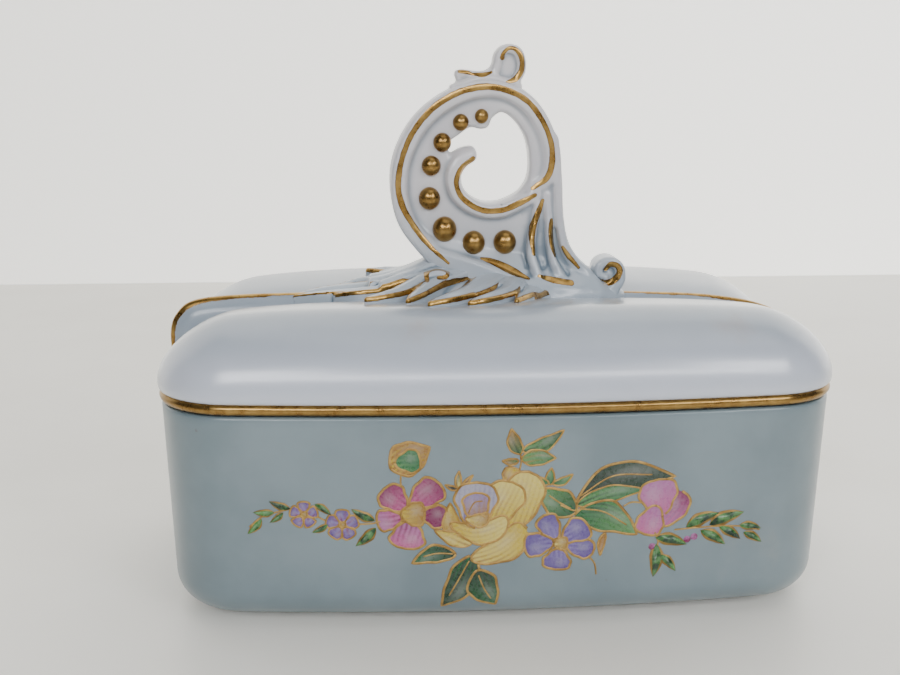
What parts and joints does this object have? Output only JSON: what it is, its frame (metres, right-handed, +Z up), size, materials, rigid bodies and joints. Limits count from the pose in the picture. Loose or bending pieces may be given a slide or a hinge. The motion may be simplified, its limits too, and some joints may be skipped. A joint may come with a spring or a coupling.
{
  "type": "porcelain trinket box",
  "caption": "Porcelain trinket box: a waisted bow-sided tub and a loose pillow-shaped lid with a gilded scroll handle.",
  "frame": {"origin": "centre of the foot's underside, on the surface the box stands on", "axes": "+X along the box's length, +Y towards the back, +Z up"},
  "size_m": [0.1778, 0.101, 0.1455],
  "materials": {
    "painted_porcelain": "glazed, hand-painted flowers on the front",
    "porcelain": "pale blue satin glaze",
    "antique_gold": "burnished gilding with worn brown edges"
  },
  "bodies": {
    "box": {"box_body": "painted_porcelain"},
    "lid": {"lid_shell": "porcelain", "gilt_band": "antique_gold", "gilt_rib": "porcelain", "scroll_handle": "porcelain", "handle_beads": "antique_gold", "handle_crest": "porcelain", "handle_volute": "porcelain", "acanthus_leaves": "porcelain"}
  },
  "joints": [
    {"name": "lid_lift", "type": "slide", "parent": "box", "child": "lid", "axis": [0, 0, 1], "range_m": [0, 0.12]}
  ]
}
